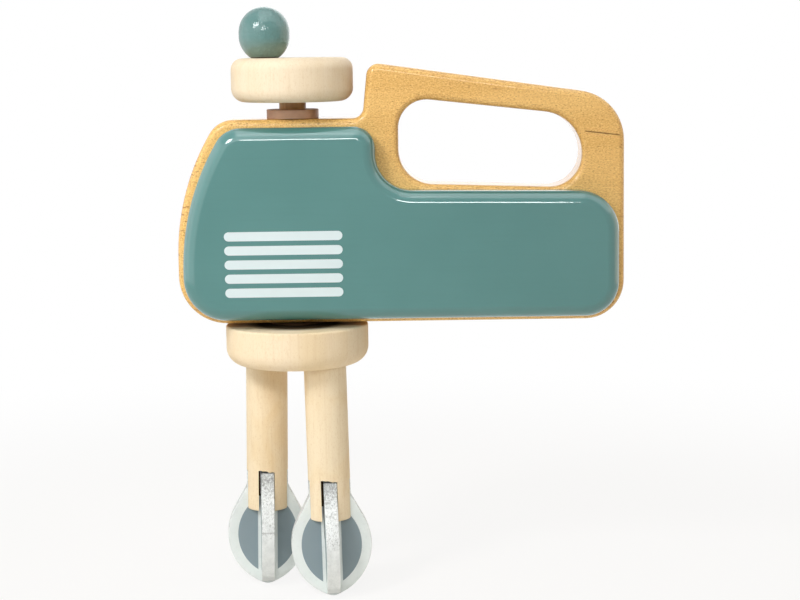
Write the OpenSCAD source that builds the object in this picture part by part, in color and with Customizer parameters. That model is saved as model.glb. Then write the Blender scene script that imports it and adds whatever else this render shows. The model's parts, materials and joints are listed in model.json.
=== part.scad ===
// Wooden toy hand mixer: a handle board between two painted covers, with a crank disc on top
// that turns a pair of whisks below. Millimetres. Z is up and the whisk tips stand on Z = 0,
// the nose points to -X, the front cover faces -Y, and the board is centred on X = 0 and Y = 0.

/* [Handle board] */
// Length of the board from its nose to its heel
board_length = 167; // [150:0.5:190]
// Height of the board's block, below the handle
block_height = 76.3; // [70:0.1:90]
// Thickness of the board
board_thick = 20; // [16:0.5:28]
// Rounding along the board's edges
board_round = 2.5; // [1:0.1:3.5]
// Corner radius at the foot of the nose
nose_foot_r = 18; // [8:0.5:22]
// Height above the board's foot where the nose starts to lean back
nose_bow_start = 24.8; // [20:0.1:32]
// Radius of the bowed edge of the nose
nose_bow_r = 90; // [60:1:110]
// Angle by which the top of the nose leans back
nose_lean = 31; // [22:1:36]
// Corner radius at the top of the nose
nose_top_r = 10.5; // [8:0.5:18]
// Corner radius at the foot of the heel
heel_foot_r = 14.5; // [8:0.5:22]

/* [Handle] */
// Distance from the nose to the foot of the handle's front post
post_from_nose = 69.8; // [60:0.2:80]
// How far the front post leans back over its height
post_lean = 2.2; // [0:0.1:6]
// Fillet where the front post stands on the block
post_foot_r = 4; // [2:0.5:8]
// Corner radius at the top of the front post
post_top_r = 4.5; // [3:0.5:10]
// Rise of the handle's front corner above the block
handle_rise = 20.6; // [14:0.2:28]
// Fall of the handle's top from its front corner to the heel
handle_fall = 13.9; // [6:0.1:18]
// Corner radius at the back of the handle
handle_back_r = 18.5; // [8:0.5:22]
// Depth of the grip bar over the front of the opening
grip_front = 11.2; // [9:0.2:15]
// Depth of the grip bar over the back of the opening
grip_back = 9.1; // [8:0.1:13]
// Width of the front post beside the opening
front_post = 13.3; // [10:0.2:17]
// Width of the heel post behind the opening
heel_post = 15.8; // [10:0.2:20]
// Strip of board between the covers and the front of the opening
opening_rim_front = 2; // [1:0.1:5]
// Strip of board between the covers and the back of the opening
opening_rim_back = 0.6; // [0.5:0.1:5]
// Corner radius of the opening, front top
opening_front_top_r = 10.5; // [6:0.5:13]
// Corner radius of the opening, back top
opening_back_top_r = 15.5; // [6:0.5:16]
// Corner radius of the opening, back foot
opening_back_foot_r = 12; // [6:0.5:14]
// Corner radius of the opening, front foot
opening_front_foot_r = 13; // [6:0.5:15]

/* [Covers] */
// Thickness of each cover
cover_thick = 10; // [7:0.5:14]
// Rounding along the outer edge of each cover
cover_round = 4.8; // [2:0.2:6]
// Board left showing at the nose
cover_nose_inset = 2.6; // [1:0.1:6]
// Board left showing along the foot
cover_foot_inset = 2.1; // [0.5:0.1:4]
// Board left showing along the top of the block
cover_top_inset = 2.8; // [1:0.1:6]
// Board left showing at the heel
cover_heel_inset = 2.7; // [1:0.1:6]
// Height above the board's foot where the cover's nose starts to lean back
cover_bow_start = 20.7; // [16:0.1:28]
// Radius of the bowed edge of the cover's nose
cover_bow_r = 92; // [60:1:105]
// Corner radius at the foot of the cover's nose
cover_nose_foot_r = 16; // [8:0.5:19]
// Corner radius at the top of the cover's nose
cover_nose_top_r = 10.5; // [8:0.5:15]
// How far the cover's neck stands behind the foot of the front post
cover_neck_past_post = 4.7; // [2:0.1:7]
// Corner radius at the top of the cover's neck
cover_neck_top_r = 8; // [6:0.5:11]
// Hollow radius where the cover's neck meets its tail
cover_neck_foot_r = 13.5; // [6:0.5:15]
// Drop from the cover's top to the front of its tail
cover_step = 23.5; // [18:0.1:28]
// Further drop from the front of the tail to its back
cover_tail_fall = 1.3; // [0:0.1:4]
// Corner radius at the top of the cover's heel
cover_heel_top_r = 15; // [8:0.5:18]
// Corner radius at the foot of the cover's heel
cover_heel_foot_r = 12.6; // [8:0.2:18]
// Diameter of the dowels that hold the covers
dowel_d = 8; // [5:0.5:10]
// Depth of each dowel in a cover
dowel_depth = 6; // [3:0.5:6.5]
// Height of the dowels above the board's foot
dowel_height = 24; // [16:0.5:32]
// Distance of the end dowels from the nose and the heel
dowel_margin = 18; // [15:0.5:22]

/* [Drive] */
// Distance from the nose to the shaft's axis
shaft_from_nose = 43.6; // [38:0.2:50]
// Diameter of the drive shaft
shaft_d = 10; // [8:0.2:11]
// Radial running clearance of the shaft in its bushes
run_clear = 0.08; // [0.02:0.01:0.1]
// Wall of the bushes' sleeves
bush_wall = 1.5; // [1:0.1:2]
// Length of the bushes' sleeves inside the board
bush_sleeve = 12; // [6:0.5:20]
// Diameter of the bushes' flanges
bush_flange_d = 19.5; // [16:0.5:24]
// Thickness of the upper bush's flange
upper_flange = 3.4; // [1:0.1:5]
// Thickness of the lower bush's flange
lower_flange = 1.1; // [0.8:0.1:3]
// Gap between the upper bush and the crank disc
crank_gap = 2.9; // [0.3:0.1:4]
// Running gap between the lower bush and the whisk disc
whisk_gap = 0.3; // [0.2:0.1:2]
// Gap for glue round dowels in their sockets
glue_gap = 0.05; // [0.02:0.01:0.2]

/* [Crank] */
// Diameter of the crank disc
crank_disc_d = 45.6; // [38:0.2:56]
// Thickness of the crank disc
crank_disc_thick = 16.2; // [13:0.2:20]
// Rounding of the crank disc's upper edge
crank_disc_top_r = 4.2; // [1:0.2:5]
// Rounding of the crank disc's lower edge
crank_disc_foot_r = 5; // [1:0.2:6]
// Depth of the shaft in the crank disc
crank_socket = 11; // [6:0.5:11]
// Distance of the ball from the shaft's axis
ball_throw = 10; // [9:0.1:13]
// Direction of the ball from the shaft's axis, in degrees from +X
ball_angle = 180; // [0:1:360]
// Diameter of the ball
ball_d = 19.1; // [16:0.1:24]
// Height of the ball above the crank disc
ball_height = 19; // [17:0.2:24]
// Diameter of the flat that the ball stands on
ball_foot_d = 10; // [7:0.2:12]
// Diameter of the ball's peg
peg_d = 5; // [3:0.2:6]
// Depth of the peg in the ball and in the crank disc
peg_depth = 8; // [5:0.5:10]

/* [Whisks] */
// Diameter of the whisk disc
whisk_disc_d = 54; // [50:0.5:64]
// Thickness of the whisk disc
whisk_disc_thick = 15; // [12:0.5:20]
// Rounding of the whisk disc's upper edge
whisk_disc_top_r = 0.8; // [0.4:0.1:3]
// Rounding of the whisk disc's lower edge
whisk_disc_foot_r = 6.4; // [2:0.2:11]
// Depth of the shaft in the whisk disc
whisk_socket = 8; // [6:0.5:8]
// Diameter of the legs
leg_d = 16; // [12:0.5:18]
// Length of each leg
leg_length = 65.2; // [50:0.2:80]
// Depth of each leg in the whisk disc
leg_socket = 6.5; // [4:0.5:6.5]
// Distance of each leg from the middle between them, at the foot of the whisk disc
leg_throw = 14.7; // [14.5:0.1:17]
// Angle by which each leg leans sideways, away from the other
leg_spread = 1; // [0:0.1:3]
// How far the middle between the legs lies off the shaft's axis, towards the nose
legs_off_axis = 1; // [0:0.1:1]
// Direction of the front leg from the middle between the legs, in degrees from +X
leg_angle = -38; // [-90:1:0]
// Chamfer round the foot of each leg
leg_chamfer = 0.6; // [0.2:0.1:1.5]
// Width of a whisk blade
blade_width = 30.6; // [26:0.2:36]
// Height of a whisk blade
blade_height = 45; // [40:0.5:54]
// Thickness of a whisk blade
blade_thick = 5; // [3:0.2:6]
// Radius of a blade's sides
blade_side_r = 21; // [19:0.5:26]
// Radius of a blade's tip
blade_tip_r = 4.5; // [2:0.5:8]
// Angle of the straight taper at a blade's top
blade_taper = 28; // [18:1:34]
// Depth of the blades in a leg
blade_seat = 15; // [10:0.5:20]
// Distance by which a blade's tenon comes short of the leg's sides
tenon_short = 0.1; // [0.05:0.05:0.5]
// Turn of the crossed blades about their leg
whisk_turn = 5; // [0:1:20]
// Clearance on each side of a blade in its slots
slot_clear = 0.2; // [0.05:0.05:0.5]

/* [Hidden] */
$fn = 96;
// Longest side and widest angle of one facet on the rounded outlines
facet_side = 6;
facet_angle = 12;
// Facets across a rounded edge
round_facets = 4;
// Overrun of cuts past the faces that they open
cut = 1;

board_x0 = -board_length / 2;
board_x1 = board_length / 2;
board_front = -board_thick / 2;
cover_front = board_front - cover_thick;

leg_foot = blade_height - blade_seat;
whisk_disc_foot = leg_foot + leg_length - leg_socket;
whisk_disc_top = whisk_disc_foot + whisk_disc_thick;
board_foot = whisk_disc_top + whisk_gap + lower_flange;
block_top = board_foot + block_height;
crank_disc_foot = block_top + upper_flange + crank_gap;
crank_disc_top = crank_disc_foot + crank_disc_thick;

shaft_x = board_x0 + shaft_from_nose;
shaft_foot = whisk_disc_top - whisk_socket;
shaft_top = crank_disc_foot + crank_socket;
bush_bore_r = shaft_d / 2 + run_clear;
bush_sleeve_r = bush_bore_r + bush_wall;
ball_pos = [shaft_x + ball_throw * cos(ball_angle), ball_throw * sin(ball_angle), crank_disc_top];

// The board's outline and opening, as corners [x, z, radius] taken anticlockwise from the foot of the nose
post_x = board_x0 + post_from_nose;
post_top_x = post_x + post_lean;
nose_corner = board_foot + nose_bow_start + nose_bow_r * tan(nose_lean / 2);
handle_front_top = block_top + handle_rise;
handle_back_top = handle_front_top - handle_fall;
function handle_top(x) =
    handle_front_top - handle_fall * (x - post_top_x) / (board_x1 - post_top_x);

board_corners = [
    [board_x0, board_foot, nose_foot_r],
    [board_x1, board_foot, heel_foot_r],
    [board_x1, handle_back_top, handle_back_r],
    [post_top_x, handle_front_top, post_top_r],
    [post_x, block_top, post_foot_r],
    [board_x0 + (block_top - nose_corner) * tan(nose_lean), block_top, nose_top_r],
    [board_x0, nose_corner, nose_bow_r],
];

// The covers' outline, in the same form
cover_x0 = board_x0 + cover_nose_inset;
cover_x1 = board_x1 - cover_heel_inset;
cover_foot = board_foot + cover_foot_inset;
cover_top = block_top - cover_top_inset;
cover_neck_x = post_x + cover_neck_past_post;
cover_tail_front = cover_top - cover_step;
cover_tail_back = cover_tail_front - cover_tail_fall;
cover_corner = board_foot + cover_bow_start + cover_bow_r * tan(nose_lean / 2);
function cover_tail(x) =
    cover_tail_front - cover_tail_fall * (x - cover_neck_x) / (cover_x1 - cover_neck_x);

cover_corners = [
    [cover_x0, cover_foot, cover_nose_foot_r],
    [cover_x1, cover_foot, cover_heel_foot_r],
    [cover_x1, cover_tail_back, cover_heel_top_r],
    [cover_neck_x, cover_tail_front, cover_neck_foot_r],
    [cover_neck_x, cover_top, cover_neck_top_r],
    [cover_x0 + (cover_top - cover_corner) * tan(nose_lean), cover_top, cover_nose_top_r],
    [cover_x0, cover_corner, cover_bow_r],
];

cover_hub = [shaft_x, (cover_foot + cover_tail_back) / 2];

opening_x0 = post_x + front_post;
opening_x1 = board_x1 - heel_post;
opening_corners = [
    [opening_x0, cover_tail(opening_x0) + opening_rim_front, opening_front_foot_r],
    [opening_x1, cover_tail(opening_x1) + opening_rim_back, opening_back_foot_r],
    [opening_x1, handle_top(opening_x1) - grip_back, opening_back_top_r],
    [opening_x0, handle_top(opening_x0) - grip_front, opening_front_top_r],
];

opening_hub = [(opening_x0 + opening_x1) / 2, (opening_corners[0][1] + opening_corners[2][1]) / 2];
board_hub = [opening_hub[0], (board_foot + block_top) / 2];

// Dowels through the board into both covers: by the nose, under the opening and by the heel
dowel_spots = [board_x0 + dowel_margin, opening_x0, board_x1 - dowel_margin];
dowel_z = board_foot + dowel_height;
dowel_length = board_thick + 2 * dowel_depth;

// Outline of a blade: two side arcs, a tip circle inside them, a straight taper above the shoulders
// and a tenon that comes just short of the leg's sides
blade_offset = blade_side_r - blade_width / 2;
blade_belly = blade_tip_r + sqrt(pow(blade_side_r - blade_tip_r, 2) - pow(blade_offset, 2));
blade_tip_join = blade_belly - blade_side_r * (blade_belly - blade_tip_r) / (blade_side_r - blade_tip_r);
blade_shoulder = [
    blade_side_r * cos(blade_taper) - blade_offset,
    blade_belly + blade_side_r * sin(blade_taper),
];
blade_lap = blade_height / 2;
slot_width = blade_thick + 2 * slot_clear;
blade_tenon_x = max(
    sqrt(pow(leg_d / 2, 2) - pow(slot_width / 2, 2)) - tenon_short,
    blade_shoulder[0] - (blade_height - cut - blade_shoulder[1]) * tan(blade_taper)
);
blade_tenon_z = blade_shoulder[1] + (blade_shoulder[0] - blade_tenon_x) / tan(blade_taper);

// Turns about the shaft that bring a leg to its place
front = 0;
rear = 180;

// Radius that fits beside both neighbours on a corner's two edges
function heading(a, b) = (b - a) / norm(b - a);
function corner_xy(c) = [c[0], c[1]];
function nth(list, i) = list[(i + len(list)) % len(list)];
function turn(list, i) =
    let (u = heading(corner_xy(nth(list, i - 1)), corner_xy(list[i])))
    let (v = heading(corner_xy(list[i]), corner_xy(nth(list, i + 1))))
    atan2(u[0] * v[1] - u[1] * v[0], u * v);
function reach(list, i) = list[i][2] * tan(abs(turn(list, i)) / 2);
function edge_share(list, i, j) =
    norm(corner_xy(list[i]) - corner_xy(list[j])) / (reach(list, i) + reach(list, j));
function fitted_r(list, i) =
    let (before = (i + len(list) - 1) % len(list))
    let (after = (i + 1) % len(list))
    list[i][2] * min(1, edge_share(list, i, before), edge_share(list, i, after));

// Points of one rounded corner, on the outline moved inwards by inset
function corner_arc(list, i, inset) =
    let (p = corner_xy(list[i]))
    let (u = heading(corner_xy(nth(list, i - 1)), p))
    let (a = turn(list, i))
    let (side = sign(a))
    let (r = fitted_r(list, i))
    let (inward = [-u[1], u[0]])
    let (centre = p - u * r * tan(abs(a) / 2) + side * r * inward)
    let (steps = ceil(max(abs(a) / facet_angle, abs(a) * PI / 180 * list[i][2] / facet_side)))
    [for (k = [0:steps])
        let (b = a * k / steps)
        let (across = [-inward[1], inward[0]])
        let (spoke = -side * (inward * cos(b) + across * sin(b)))
        centre + (r - side * inset) * spoke];
function outline(list, inset) = [for (i = [0:len(list) - 1]) each corner_arc(list, i, inset)];

// Steps [y, inset] of a quarter round that starts on the face at y and ends on the side wall
function round_steps(y, r, inward) =
    [for (k = [0:round_facets])
        let (b = 90 * k / round_facets)
        [y + inward * r * (1 - cos(b)), r * (1 - sin(b))]];
function reversed(list) = [for (i = [len(list) - 1:-1:0]) list[i]];

// Solid skinned through one outline that changes its inset at each step along Y, with its two end
// faces fanned out from a hub [x, z] that every point of the outline sees in a straight line
module skinned(corners, steps, hub) {
    count = len(outline(corners, 0));
    rows = len(steps) - 1;
    rings = [for (s = steps) for (p = outline(corners, s[1])) [p[0], s[0], p[1]]];
    hubs = [for (s = [steps[0], steps[rows]]) [hub[0], s[0], hub[1]]];
    front_hub = len(rings);
    back_hub = front_hub + 1;
    faces = [for (i = [0:count - 1])
        let (j = (i + 1) % count)
        each concat(
            [[front_hub, j, i], [back_hub, rows * count + i, rows * count + j]],
            [for (k = [0:rows - 1]) [k * count + i, k * count + j, (k + 1) * count + j]],
            [for (k = [0:rows - 1]) [k * count + i, (k + 1) * count + j, (k + 1) * count + i]])];
    polyhedron(concat(rings, hubs), faces);
}

module cylinder_y(d, length) {
    rotate([90, 0, 0])
        cylinder(d = d, h = length, center = true);
}

module dowel_bores(length) {
    for (x = dowel_spots)
        translate([x, 0, dowel_z])
            cylinder_y(dowel_d + 2 * glue_gap, length);
}

module turned_disc(d, thick, top_r, foot_r) {
    r = d / 2;
    rotate_extrude()
        intersection() {
            square([r, thick]);
            union() {
                square([r - foot_r, thick]);
                translate([0, foot_r])
                    square([r, thick - foot_r - top_r]);
                translate([r - foot_r, foot_r])
                    circle(foot_r);
                translate([0, thick - top_r])
                    square([r - top_r, top_r]);
                translate([r - top_r, thick - top_r])
                    circle(top_r);
            }
        }
}

module handle_board() {
    half = board_thick / 2;
    front_round = round_steps(-half, board_round, 1);
    back_round = reversed(round_steps(half, board_round, -1));
    mouth = [for (s = concat(front_round, back_round)) [s[0], -s[1]]];
    opening_steps = concat([[-half - cut, -board_round]], mouth, [[half + cut, -board_round]]);
    color("burlywood")
        difference() {
            skinned(board_corners, concat(front_round, back_round), board_hub);
            skinned(opening_corners, opening_steps, opening_hub);
            translate([shaft_x, 0, board_foot - cut])
                cylinder(r = bush_sleeve_r + glue_gap, h = block_height + 2 * cut);
            dowel_bores(board_thick + 2 * cut);
        }
}

module cover() {
    cover_edge = round_steps(cover_front, cover_round, 1);
    difference() {
        skinned(cover_corners, concat(cover_edge, [[board_front, 0]]), cover_hub);
        dowel_bores(dowel_length + 2 * glue_gap);
    }
}

module front_cover() {
    color("cadetblue")
        cover();
}

module rear_cover() {
    color("cadetblue")
        mirror([0, 1, 0])
            cover();
}

module cover_dowels() {
    color("tan")
        for (x = dowel_spots)
            translate([x, 0, dowel_z])
                cylinder_y(dowel_d, dowel_length);
}

module bush(flange) {
    difference() {
        union() {
            cylinder(d = bush_flange_d, h = flange);
            translate([0, 0, -bush_sleeve])
                cylinder(r = bush_sleeve_r, h = bush_sleeve + flange / 2);
        }
        translate([0, 0, -bush_sleeve - cut])
            cylinder(r = bush_bore_r, h = bush_sleeve + flange + 2 * cut);
    }
}

module upper_bush() {
    color("rosybrown")
        translate([shaft_x, 0, block_top])
            bush(upper_flange);
}

module lower_bush() {
    color("rosybrown")
        translate([shaft_x, 0, board_foot])
            mirror([0, 0, 1])
                bush(lower_flange);
}

module drive_shaft() {
    color("sienna")
        translate([shaft_x, 0, shaft_foot])
            cylinder(d = shaft_d, h = shaft_top - shaft_foot);
}

module crank_disc() {
    color("antiquewhite")
        difference() {
            translate([shaft_x, 0, crank_disc_foot])
                turned_disc(crank_disc_d, crank_disc_thick, crank_disc_top_r, crank_disc_foot_r);
            translate([shaft_x, 0, crank_disc_foot - cut])
                cylinder(r = shaft_d / 2 + glue_gap, h = crank_socket + glue_gap + cut);
            translate(ball_pos - [0, 0, peg_depth + glue_gap])
                cylinder(r = peg_d / 2 + glue_gap, h = peg_depth + glue_gap + cut);
        }
}

// A ball drawn out by a short belt round its waist and cut flat below
module crank_ball() {
    r = ball_d / 2;
    lower_centre = sqrt(pow(r, 2) - pow(ball_foot_d / 2, 2));
    upper_centre = ball_height - r;
    color("cadetblue")
        translate(ball_pos)
            difference() {
                rotate_extrude()
                    intersection() {
                        square([r, ball_height]);
                        union() {
                            translate([0, lower_centre])
                                circle(r);
                            translate([0, lower_centre])
                                square([r, upper_centre - lower_centre]);
                            translate([0, upper_centre])
                                circle(r);
                        }
                    }
                translate([0, 0, -cut])
                    cylinder(r = peg_d / 2 + glue_gap, h = peg_depth + glue_gap + cut);
            }
}

module ball_peg() {
    color("tan")
        translate(ball_pos - [0, 0, peg_depth])
            cylinder(d = peg_d, h = 2 * peg_depth);
}

// Places a leg and its blades, leaning about the spot where the leg enters the whisk disc
module at_leg(half_turn) {
    leg_spot = [leg_throw * cos(leg_angle), leg_throw * sin(leg_angle), whisk_disc_foot];
    translate([shaft_x - legs_off_axis, 0, 0])
        rotate([0, 0, half_turn])
            translate(leg_spot)
                rotate([0, -leg_spread, 0])
                    translate([0, 0, -whisk_disc_foot])
                        rotate([0, 0, whisk_turn])
                            children();
}

module whisk_disc() {
    color("antiquewhite")
        difference() {
            translate([shaft_x, 0, whisk_disc_foot])
                turned_disc(whisk_disc_d, whisk_disc_thick, whisk_disc_top_r, whisk_disc_foot_r);
            translate([shaft_x, 0, shaft_foot - glue_gap])
                cylinder(r = shaft_d / 2 + glue_gap, h = whisk_socket + glue_gap + cut);
            for (half_turn = [front, rear])
                at_leg(half_turn)
                    translate([0, 0, whisk_disc_foot - cut])
                        cylinder(r = leg_d / 2 + glue_gap, h = leg_socket + glue_gap + cut);
        }
}

module leg() {
    r = leg_d / 2;
    slot_depth = blade_seat + slot_clear;
    difference() {
        translate([0, 0, leg_foot])
            rotate_extrude()
                polygon([[0, 0], [r - leg_chamfer, 0], [r, leg_chamfer], [r, leg_length], [0, leg_length]]);
        for (k = [0, 90])
            rotate([0, 0, k])
                translate([-leg_d, -slot_width / 2, leg_foot - cut])
                    cube([2 * leg_d, slot_width, slot_depth + cut]);
    }
}

module front_leg() {
    color("wheat")
        at_leg(front)
            leg();
}

module rear_leg() {
    color("wheat")
        at_leg(rear)
            leg();
}

module blade_outline() {
    intersection() {
        translate([-blade_offset, blade_belly])
            circle(blade_side_r);
        translate([blade_offset, blade_belly])
            circle(blade_side_r);
        translate([-blade_width / 2, blade_tip_join])
            square([blade_width, blade_shoulder[1] - blade_tip_join]);
    }
    translate([0, blade_tip_r])
        circle(blade_tip_r);
    polygon([
        [0, blade_tip_r],
        blade_shoulder,
        [blade_tenon_x, blade_tenon_z],
        [blade_tenon_x, blade_height],
        [-blade_tenon_x, blade_height],
        [-blade_tenon_x, blade_tenon_z],
        [-blade_shoulder[0], blade_shoulder[1]],
    ]);
}

// One blade of a half-lapped pair, notched from the given height over the given length
module blade(notch_foot, notch_length) {
    rotate([90, 0, 0])
        translate([0, 0, -blade_thick / 2])
            linear_extrude(blade_thick)
                difference() {
                    blade_outline();
                    translate([-slot_width / 2, notch_foot])
                        square([slot_width, notch_length]);
                }
}

module face_blade() {
    blade(blade_lap - slot_clear, blade_height - blade_lap + slot_clear + cut);
}

module cross_blade() {
    rotate([0, 0, 90])
        blade(-cut, blade_lap + cut);
}

module front_whisk_blade() {
    color("gainsboro")
        at_leg(front)
            face_blade();
}

module front_whisk_cross_blade() {
    color("slategray")
        at_leg(front)
            cross_blade();
}

module rear_whisk_blade() {
    color("gainsboro")
        at_leg(rear)
            face_blade();
}

module rear_whisk_cross_blade() {
    color("slategray")
        at_leg(rear)
            cross_blade();
}

handle_board();
front_cover();
rear_cover();
cover_dowels();
upper_bush();
lower_bush();
drive_shaft();
crank_disc();
crank_ball();
ball_peg();
whisk_disc();
front_leg();
rear_leg();
front_whisk_blade();
front_whisk_cross_blade();
rear_whisk_blade();
rear_whisk_cross_blade();
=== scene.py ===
import json
import math

import bpy
from mathutils import Matrix, Vector


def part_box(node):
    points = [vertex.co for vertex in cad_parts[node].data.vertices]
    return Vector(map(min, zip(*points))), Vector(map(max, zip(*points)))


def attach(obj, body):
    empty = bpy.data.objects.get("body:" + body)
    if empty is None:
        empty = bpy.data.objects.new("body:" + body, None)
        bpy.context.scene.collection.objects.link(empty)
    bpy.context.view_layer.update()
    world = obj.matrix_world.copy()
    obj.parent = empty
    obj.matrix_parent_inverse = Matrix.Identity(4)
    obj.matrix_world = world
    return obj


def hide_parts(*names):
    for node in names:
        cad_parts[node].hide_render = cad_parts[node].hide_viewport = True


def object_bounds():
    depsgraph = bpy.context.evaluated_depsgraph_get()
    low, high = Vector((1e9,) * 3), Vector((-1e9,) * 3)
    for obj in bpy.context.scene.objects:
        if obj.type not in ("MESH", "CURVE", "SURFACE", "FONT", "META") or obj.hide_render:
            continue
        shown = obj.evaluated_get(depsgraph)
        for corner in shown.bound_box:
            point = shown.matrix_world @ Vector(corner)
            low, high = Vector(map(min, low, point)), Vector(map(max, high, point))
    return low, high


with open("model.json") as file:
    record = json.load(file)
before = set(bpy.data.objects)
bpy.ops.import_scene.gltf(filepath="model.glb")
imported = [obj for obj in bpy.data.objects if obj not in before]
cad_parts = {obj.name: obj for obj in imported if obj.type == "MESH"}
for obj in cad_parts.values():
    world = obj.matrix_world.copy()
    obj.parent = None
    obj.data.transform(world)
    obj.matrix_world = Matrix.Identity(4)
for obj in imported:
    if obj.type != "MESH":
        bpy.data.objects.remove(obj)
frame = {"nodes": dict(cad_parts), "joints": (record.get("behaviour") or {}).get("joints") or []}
cad_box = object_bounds()

# Handle board: one beech plank, sawn to the outline of a mixer with a grip opening. Its edges are
# rounded over and it is clear lacquered. The covers are glued to it and the shaft turns in it.
MM = 0.001
board_low, board_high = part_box("handle_board")
nose_x, foot_z = board_low.x, board_low.z
board_length = (board_high.x - board_low.x) / MM
board_round = 2.5
block_height = 76.3
nose_lean = math.radians(31)
nose_bow_r = 90
nose_bow = 24.8 + nose_bow_r * math.tan(nose_lean / 2)
nose_top = (block_height - nose_bow) * math.tan(nose_lean)
post = 69.8
post_top = post + 2.2
handle_front = block_height + 20.6
handle_back = handle_front - 13.9

# Corners of the outline and of the grip opening, as x, z and radius from the foot of the nose
board_corners = [
    (0, 0, 18),
    (board_length, 0, 14.5),
    (board_length, handle_back, 18.5),
    (post_top, handle_front, 4.5),
    (post, block_height, 4),
    (nose_top, block_height, 10.5),
    (0, nose_bow, nose_bow_r),
]
opening_front = post + 13.3
opening_back = board_length - 15.8
opening_corners = [
    (opening_front, 51.9, 13),
    (opening_back, 49.5, 12),
    (opening_back, 76.2, 15.5),
    (opening_front, 84.1, 10.5),
]


def rounded(corners):
    """Points (x, z) in metres of an outline with rounded corners, taken anticlockwise."""
    points = []
    for i, corner in enumerate(corners):
        here = Vector(corner[:2])
        radius = corner[2]
        come = (here - Vector(corners[i - 1][:2])).normalized()
        go = (Vector(corners[(i + 1) % len(corners)][:2]) - here).normalized()
        turn = math.atan2(come.x * go.y - come.y * go.x, come.dot(go))
        centre = here + (go - come).normalized() * radius / math.cos(turn / 2)
        spoke = here - come * radius * math.tan(abs(turn) / 2) - centre
        steps = max(math.ceil(abs(turn) / math.radians(6)), math.ceil(abs(turn) * radius / 3))
        for step in range(steps + 1):
            point = centre + Matrix.Rotation(turn * step / steps, 2) @ spoke
            points.append((nose_x + point.x * MM, foot_z + point.y * MM))
    return points


def pick(piece):
    """Makes the piece the active one and the only one selected."""
    bpy.ops.object.select_all(action="DESELECT")
    bpy.context.view_layer.objects.active = piece
    piece.select_set(True)


def edit(piece):
    """Picks the piece and opens it in edit mode."""
    pick(piece)
    bpy.ops.object.mode_set(mode="EDIT")


def plate(name, points, near, far):
    """A plate with the given outline on the XZ plane, from y = near to y = far."""
    bpy.ops.object.select_all(action="DESELECT")
    bpy.ops.mesh.primitive_circle_add(vertices=len(points), fill_type="NGON")
    piece = bpy.context.object
    piece.name = piece.data.name = name
    for vertex, (x, z) in zip(piece.data.vertices, points):
        vertex.co = (x, near, z)
    edit(piece)
    bpy.ops.mesh.select_all(action="SELECT")
    bpy.ops.mesh.extrude_region_move(TRANSFORM_OT_translate={"value": (0, far - near, 0)})
    bpy.ops.mesh.select_all(action="SELECT")
    bpy.ops.mesh.normals_make_consistent(inside=False)
    bpy.ops.object.mode_set(mode="OBJECT")
    return piece


def apply_modifier(piece, kind, **settings):
    """Adds a modifier with these settings to the piece and applies it."""
    pick(piece)
    modifier = piece.modifiers.new(kind, kind)
    for key, value in settings.items():
        setattr(modifier, key, value)
    bpy.ops.object.modifier_apply(modifier=modifier.name)


def cut_away(piece, cutter):
    """Takes the cutter's shape out of the piece and deletes the cutter."""
    apply_modifier(piece, "BOOLEAN", operation="DIFFERENCE", solver="EXACT", object=cutter)
    bpy.data.objects.remove(cutter)


def round_edges(piece, radius, segments, chosen, profile=0.5):
    """Rounds the sharp edges whose two ends are both chosen by their place."""
    edit(piece)
    bpy.ops.mesh.select_mode(type="EDGE")
    bpy.ops.mesh.select_all(action="DESELECT")
    bpy.ops.mesh.edges_select_sharp(sharpness=math.radians(45))
    bpy.ops.object.mode_set(mode="OBJECT")
    vertices = piece.data.vertices
    for face in piece.data.polygons:
        face.select = False
    for edge in piece.data.edges:
        edge.select = edge.select and all(chosen(vertices[i].co) for i in edge.vertices)
    bpy.ops.object.mode_set(mode="EDIT")
    bpy.ops.mesh.bevel(
        offset=radius, segments=segments, profile=profile, affect="EDGES", clamp_overlap=False)
    bpy.ops.object.mode_set(mode="OBJECT")


def smooth(piece, angle=35):
    """Shades the piece smooth up to an angle, and keeps its flat faces flat to the eye."""
    pick(piece)
    bpy.ops.object.shade_smooth_by_angle(angle=math.radians(angle))
    apply_modifier(piece, "WEIGHTED_NORMAL", mode="FACE_AREA", weight=50, keep_sharp=True)


def dress(piece, material, body, slot, *nodes):
    """Gives a finished piece its material and body, and hides the nodes it stands for. Slot is not used."""
    piece.data.materials.clear()
    piece.data.materials.append(material)
    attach(piece, body)
    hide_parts(*nodes)


def new_material(name):
    """A material with its shader and the piece's own coordinates."""
    material = bpy.data.materials.new(name)
    material.use_nodes = True
    shader = material.node_tree.nodes["Principled BSDF"]
    place = material.node_tree.nodes.new("ShaderNodeTexCoord").outputs["Object"]
    return material, shader, place


def add(material, kind, inputs, **settings):
    """A new node with its settings, whose inputs are set, or linked to another node's output."""
    node = material.node_tree.nodes.new("ShaderNode" + kind)
    for key, value in settings.items():
        setattr(node, key, value)
    for key, value in inputs.items():
        if isinstance(value, bpy.types.NodeSocket):
            material.node_tree.links.new(value, node.inputs[key])
        else:
            node.inputs[key].default_value = value
    return node


def noise(material, place, scale, detail=3, roughness=0.55, distortion=0):
    """Noise from 0 to 1 with its own number of cells to the metre along X, Y and Z."""
    scaled = add(material, "Mapping", {"Vector": place, "Scale": scale}).outputs["Vector"]
    inputs = {
        "Vector": scaled, "Scale": 1, "Detail": detail, "Roughness": roughness, "Distortion": distortion,
    }
    return add(material, "TexNoise", inputs).outputs["Fac"]


def span(material, value, low, high, start=0, end=1):
    """Takes value from low..high to start..end, smoothly and no further."""
    inputs = {"Value": value, 1: low, 2: high, 3: start, 4: end}
    return add(material, "MapRange", inputs, interpolation_type="SMOOTHSTEP").outputs[0]


def sums(material, operation, first, second):
    """One sum of two numbers, such as ADD or MULTIPLY."""
    return add(material, "Math", {0: first, 1: second}, operation=operation).outputs[0]


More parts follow.
